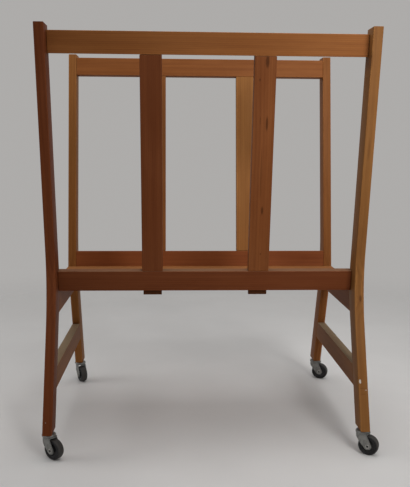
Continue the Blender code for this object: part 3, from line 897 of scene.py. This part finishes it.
def fork_plan(half, reach):
    """Plan of the fork: two straight sides that meet round its leading end."""
    lead = arc((FORK_OUTER - LEAD_END, 0.0), half, pi / 2, 1.5 * pi, steps=24)
    return [(reach, -half), (reach, half)] + lead


def fork_side():
    """Side of the fork: two legs that taper to a round end about the axle, under the crown."""
    centre = (TRAIL, -AXLE_DROP)
    inside = (NOSE_RADIUS ** 2 - FORK_OUTER ** 2) ** 0.5 - PLATE_THICK / 2
    front = (inside, LEG_TOP)
    back = (-LEAD_END, CROWN_TOP - SKIRT)
    first = tangent_angle(front, centre, FORK_END_RADIUS, -1)
    last = tangent_angle(back, centre, FORK_END_RADIUS, 1) - 2 * pi
    points = [(-CUT_REACH, back[1]), (-CUT_REACH, PLATE_THICK)]
    points += [(CUT_REACH, PLATE_THICK), (CUT_REACH, LEG_TOP), front]
    return points + arc(centre, FORK_END_RADIUS, first, last, steps=20) + [back]


def fork_mesh(name, edge):
    """Pressed fork: a round-nosed crown bent down into two legs and a closed leading end."""
    upright = Matrix.Rotation(pi / 2, 4, "X")
    body = plate(name, fork_plan(FORK_OUTER, CUT_REACH / 2), CROWN_TOP - FORK_HIGH, CROWN_TOP)
    round_top(body, CROWN_BEND, segments=6, far=NOSE_RADIUS)
    crown_low = CROWN_TOP - PLATE_THICK
    hollow = plate(name + "_space", fork_plan(FORK_INNER, CUT_REACH), crown_low - FORK_HIGH, crown_low)
    round_top(hollow, CROWN_BEND - PLATE_THICK, segments=4, far=CUT_REACH / 2)
    side = plate(name + "_side", fork_side(), -CUT_REACH / 2, CUT_REACH / 2)
    ring_low = LEG_TOP - PLATE_THICK
    nose = [(CUT_REACH, GAP), (CUT_REACH, ring_low), (NOSE_RADIUS, ring_low), (NOSE_RADIUS, GAP)]
    stem = [(0.0, GAP), (STEM_HOLE, GAP), (STEM_HOLE, -AXLE_DROP / 2), (0.0, -AXLE_DROP / 2)]
    bore = AXLE_RADIUS + GAP
    axle = [(0.0, CUT_REACH), (bore, CUT_REACH), (bore, -CUT_REACH), (0.0, -CUT_REACH)]
    item = loose(name, body)
    kept = loose(name + "_side", side, upright)
    cutters = [
        loose(name + "_nose", turned(name + "_nose", nose, NOSE_STEPS)),
        loose(name + "_space", hollow),
        loose(name + "_stem", turned(name + "_stem", stem, BORE_STEPS, ring=False)),
        loose(
            name + "_axle", turned(name + "_axle", axle, BORE_STEPS, ring=False),
            Matrix.Translation((TRAIL, 0.0, -AXLE_DROP)) @ upright),
    ]
    combine(item, [kept], "INTERSECT")
    combine(item, cutters, "DIFFERENCE")
    soften(item, edge, segments=2)
    mesh = taken_mesh(item, name)
    for cutter in [kept] + cutters:
        bpy.data.objects.remove(cutter, do_unlink=True)
    return mesh


def tyre_mesh(name, tread_crown):
    """Tyre with a moulding line on each wall and a lightly crowned tread."""
    inner = RIM_RADIUS + GAP
    half = TYRE_WIDE / 2
    line = 0.0004
    half_profile = [(inner, half - line), (inner + line, half), (inner + 5 * line, half)]
    half_profile += [(inner + 6 * line, half - line), (inner + 7 * line, half)]
    edge = TYRE_RADIUS - tread_crown
    shoulder = (edge - TYRE_SHOULDER, half - TYRE_SHOULDER)
    half_profile += arc(shoulder, TYRE_SHOULDER, pi / 2, 0.0, steps=7)
    half_profile += [(TYRE_RADIUS - tread_crown / 4, half / 4), (TYRE_RADIUS, line)]
    return turned(name, both_halves(half_profile), TYRE_STEPS, angle=radians(50))


def wheel_mesh(name):
    """Wheel centre with a long hub, a filleted web and a rim."""
    bore = AXLE_RADIUS + GAP
    rim_inner = RIM_RADIUS - RIM_THICK
    round_off = 0.0004
    fillet = 0.0012
    hub_edge = (HUB_RADIUS - round_off, HUB_WIDE / 2 - round_off)
    half_profile = [(bore, HUB_WIDE / 2)]
    half_profile += arc(hub_edge, round_off, pi / 2, 0.0, steps=3)
    half_profile += arc((HUB_RADIUS + fillet, WEB_HALF + fillet), fillet, pi, 1.5 * pi, steps=4)
    half_profile += arc((rim_inner - fillet, WEB_HALF + fillet), fillet, 1.5 * pi, 2 * pi, steps=4)
    half_profile += [(rim_inner, RIM_WIDE / 2 - round_off), (rim_inner + round_off, RIM_WIDE / 2)]
    half_profile += [(RIM_RADIUS - round_off, RIM_WIDE / 2), (RIM_RADIUS, RIM_WIDE / 2 - round_off)]
    return turned(name, both_halves(half_profile), WHEEL_STEPS)


def axle_mesh(name):
    """Rivet with rounded heads outside the fork and a hollow in each end."""
    seat = FORK_OUTER + GAP
    end = seat + AXLE_HEAD_THICK
    lip = 0.0003
    bend = AXLE_HEAD_THICK - lip
    half_profile = [(0.0, end - DIMPLE_DEEP), (DIMPLE_RADIUS - lip, end - DIMPLE_DEEP)]
    half_profile += [(DIMPLE_RADIUS, end - DIMPLE_DEEP + lip), (DIMPLE_RADIUS, end - lip)]
    half_profile += [(DIMPLE_RADIUS + lip, end)]
    half_profile += arc((AXLE_HEAD_RADIUS - bend, end - bend), bend, pi / 2, 0.0, steps=6)
    half_profile += [(AXLE_HEAD_RADIUS, seat), (AXLE_RADIUS, seat)]
    return turned(name, both_halves(half_profile), AXLE_STEPS, ring=False)


def cap_mesh(name):
    """Pressed race cap with a raised ring and a rolled shoulder."""
    bead = 0.0002
    corner = (CAP_RADIUS - CAP_BEND, CAP_TOP - CAP_BEND)
    start, rise, fall, stop = (fraction * CAP_RADIUS for fraction in (0.55, 0.58, 0.66, 0.69))
    profile = [(STEM_HOLE, CAP_TOP), (start, CAP_TOP), (rise, CAP_TOP + bead)]
    profile += [(fall, CAP_TOP + bead), (stop, CAP_TOP)]
    profile += arc(corner, CAP_BEND, pi / 2, 0.0, steps=8)
    profile += [(CAP_RADIUS, CAP_LOW), (CAP_RADIUS - CAP_THICK, CAP_LOW)]
    profile += arc(corner, CAP_BEND - CAP_THICK, 0.0, pi / 2, steps=6)
    profile += [(STEM_HOLE, CAP_TOP - CAP_THICK)]
    return turned(name, profile, CAP_STEPS)


def make_castor(corner, meshes, finishes, colours):
    foot, swivel, axle = castor_places(corner)
    castor = "castor_" + corner
    roller = "roller_" + corner
    # The tyre's tread is paler: floor dust, and painted sheen
    tyre = moulded_finish("tyre_" + corner, colours.rubber, roughness=0.42, dust=0.50, tread=TYRE_RADIUS)
    wheel = moulded_finish("wheel_" + corner, colours.wheel, roughness=0.40, dust=0.25)
    pieces = {
        "fork_": (swivel, finishes["zinc"], castor, "zinc_steel"),
        "race_cap_": (foot, finishes["zinc"], "frame", "zinc_steel"),
        "axle_": (axle, finishes["axle"], castor, "bright_steel"),
        "tyre_": (axle, tyre, roller, "tyre_rubber"),
        "wheel_": (axle, wheel, roller, "wheel_plastic"),
    }
    for kind, (matrix, material, body, slot) in pieces.items():
        add_piece(kind + corner, meshes[kind].copy(), matrix, material, body)
    for kind, finish in (("socket_", "zinc"), ("stem_", "steel"), ("ball_ring_", "steel")):
        dress(kind + corner, finishes[finish])


def make_castors():
    sizes = bpy.context.scene.rack_sizes
    colours = bpy.context.scene.rack_colours
    meshes = {
        "fork_": fork_mesh("pressed_fork", sizes.fork_edge),
        "race_cap_": cap_mesh("pressed_cap"),
        "axle_": axle_mesh("hollow_axle"),
        "tyre_": tyre_mesh("moulded_tyre", sizes.tread_crown),
        "wheel_": wheel_mesh("moulded_wheel"),
    }
    finishes = {
        "zinc": metal_finish("castor_zinc", colours.zinc, roughness=0.36, spots=0.8),
        "steel": metal_finish("castor_steel", colours.steel, roughness=0.30, spots=0.35),
        # The axle's steel is painted near black in its hollow ends, as shade
        "axle": metal_finish(
            "axle_steel", colours.steel, roughness=0.30, spots=0.35, hollow=DIMPLE_RADIUS),
    }
    for corner in CORNERS:
        make_castor(corner, meshes, finishes, colours)


# Stage

def camera_matrix():
    level = Vector((sin(CAMERA_YAW), cos(CAMERA_YAW), 0.0))
    forward = level * cos(CAMERA_PITCH) - UP * sin(CAMERA_PITCH)
    right = level.cross(UP)
    up = right.cross(forward)
    rolled_right = right * cos(CAMERA_ROLL) + up * sin(CAMERA_ROLL)
    rolled_up = up * cos(CAMERA_ROLL) - right * sin(CAMERA_ROLL)
    turn = Matrix((rolled_right, rolled_up, -forward)).transposed().to_4x4()
    return Matrix.Translation(CAMERA_PLACE) @ turn


def make_camera():
    data = bpy.data.cameras.new("camera")
    data.lens = FOCAL_PIXELS * data.sensor_width / FRAME_HIGH
    data.clip_start = 0.05
    camera = bpy.data.objects.new("camera", data)
    bpy.context.scene.collection.objects.link(camera)
    camera.matrix_world = camera_matrix()
    bpy.context.scene.camera = camera


def make_light(name, place, target, size, watts, spread):
    data = bpy.data.lights.new(name, "AREA")
    data.shape = "RECTANGLE"
    data.size, data.size_y = size
    data.energy = watts
    data.spread = radians(spread)
    light = bpy.data.objects.new(name, data)
    bpy.context.scene.collection.objects.link(light)
    light.location = place
    light.rotation_euler = (Vector(target) - Vector(place)).to_track_quat("-Z", "Y").to_euler()


def make_world(pale, ambient):
    """Even light all round, and the pale background for what looks at it."""
    world = bpy.data.worlds.new("pale_world")
    bpy.context.scene.world = world
    world.use_nodes = True
    world.node_tree.nodes.clear()
    nodes = Nodes(world.node_tree)
    background = "ShaderNodeBackground"
    lit = nodes.add(background, None, {"Color": opaque((1.0, 1.0, 1.0)), "Strength": ambient})
    shown = nodes.add(background, None, {"Color": opaque(pale), "Strength": 1.0})
    mixed = nodes.add("ShaderNodeMixShader", None, {0: nodes.seen(), 1: lit, 2: shown})
    nodes.add("ShaderNodeOutputWorld", None, {"Surface": mixed})


def make_floor(pale, level):
    """Pale floor that fades into the background away from the rack."""
    shape = bmesh.new()
    bmesh.ops.create_circle(shape, cap_ends=True, segments=96, radius=FLOOR_RADIUS)
    mesh = mesh_of(shape, "floor")
    floor = loose("floor", mesh, Matrix.Translation((0.0, 0.0, level)))
    recipe = Recipe("pale_floor", Metallic=0.0, Roughness=0.6, Specular_IOR_Level=0.2)
    place = recipe.point()
    mottle = recipe.noise(place, 3.0, 3.0).smooth(0.3, 0.7)
    recipe.set("Base Color", recipe.blend(pale, shade(pale, 0.95), mottle))
    recipe.set("Alpha", recipe.away(place).smooth(FADE_END, FADE_START))
    mesh.materials.append(recipe.material)


def make_stage():
    colours = bpy.context.scene.rack_colours
    make_camera()
    make_world(colours.background, AMBIENT)
    make_floor(colours.floor, CAD_BOX[0].z)
    for name, lamp in LAMPS.items():
        make_light(name, *lamp)
    bpy.context.scene.view_settings.view_transform = "Standard"


# Operators

class OBJECT_OT_rack_posts(bpy.types.Operator):
    """Make the four posts"""

    bl_idname = "object.rack_posts"
    bl_label = "Posts"

    def execute(self, context):
        for number, corner in enumerate(CORNERS):
            make_post(corner, number, context.scene.rack_sizes.arris)
        return {"FINISHED"}


class OBJECT_OT_rack_rails(bpy.types.Operator):
    """Finish the top and lower rails"""

    bl_idname = "object.rack_rails"
    bl_label = "Rails"

    def execute(self, context):
        make_rails()
        return {"FINISHED"}


class OBJECT_OT_rack_slats(bpy.types.Operator):
    """Finish the four slats"""

    bl_idname = "object.rack_slats"
    bl_label = "Slats"

    def execute(self, context):
        make_slats()
        return {"FINISHED"}


class OBJECT_OT_rack_cross_pieces(bpy.types.Operator):
    """Finish the cross rails and stretchers"""

    bl_idname = "object.rack_cross_pieces"
    bl_label = "Cross rails and stretchers"

    def execute(self, context):
        make_cross_pieces()
        return {"FINISHED"}


class OBJECT_OT_rack_shelf(bpy.types.Operator):
    """Finish the shelf"""

    bl_idname = "object.rack_shelf"
    bl_label = "Shelf"

    def execute(self, context):
        make_shelf()
        return {"FINISHED"}


class OBJECT_OT_rack_screws(bpy.types.Operator):
    """Make the shelf's screws"""

    bl_idname = "object.rack_screws"
    bl_label = "Shelf screws"

    def execute(self, context):
        sizes = context.scene.rack_sizes
        finish = metal_finish("screw_steel", context.scene.rack_colours.steel, roughness=0.34)
        names = sorted(node for node in frame["nodes"] if node.startswith("shelf_screw_"))
        for number, node in enumerate(names):
            make_screw(node, number, finish, sizes.recess)
        return {"FINISHED"}


class OBJECT_OT_rack_castors(bpy.types.Operator):
    """Make the four castors"""

    bl_idname = "object.rack_castors"
    bl_label = "Castors"

    def execute(self, context):
        make_castors()
        return {"FINISHED"}


class OBJECT_OT_rack_stage(bpy.types.Operator):
    """Make the floor, background, lamps and camera"""

    bl_idname = "object.rack_stage"
    bl_label = "Stage"

    def execute(self, context):
        make_stage()
        return {"FINISHED"}


OPERATORS = (
    OBJECT_OT_rack_posts,
    OBJECT_OT_rack_rails,
    OBJECT_OT_rack_slats,
    OBJECT_OT_rack_cross_pieces,
    OBJECT_OT_rack_shelf,
    OBJECT_OT_rack_screws,
    OBJECT_OT_rack_castors,
    OBJECT_OT_rack_stage,
)


class VIEW3D_PT_rack(bpy.types.Panel):
    """Sidebar panel of the rack's sizes, colours and operators"""

    bl_idname = "VIEW3D_PT_rack"
    bl_label = "Print Rack"
    bl_space_type = "VIEW_3D"
    bl_region_type = "UI"
    bl_category = "Print Rack"

    def draw(self, context):
        layout = self.layout
        for group in (context.scene.rack_sizes, context.scene.rack_colours):
            for name in group.__annotations__:
                layout.prop(group, name)
        for operator in OPERATORS:
            layout.operator(operator.bl_idname)


CLASSES = (RackSizes, RackColours, *OPERATORS, VIEW3D_PT_rack)


def register():
    for item in CLASSES:
        bpy.utils.register_class(item)
    bpy.types.Scene.rack_sizes = PointerProperty(type=RackSizes)
    bpy.types.Scene.rack_colours = PointerProperty(type=RackColours)


def unregister():
    del bpy.types.Scene.rack_colours
    del bpy.types.Scene.rack_sizes
    for item in reversed(CLASSES):
        bpy.utils.unregister_class(item)


def main():
    register()
    bpy.ops.object.rack_posts()
    bpy.ops.object.rack_rails()
    bpy.ops.object.rack_slats()
    bpy.ops.object.rack_cross_pieces()
    bpy.ops.object.rack_shelf()
    bpy.ops.object.rack_screws()
    bpy.ops.object.rack_castors()
    bpy.ops.object.rack_stage()


if __name__ == "__main__":
    main()
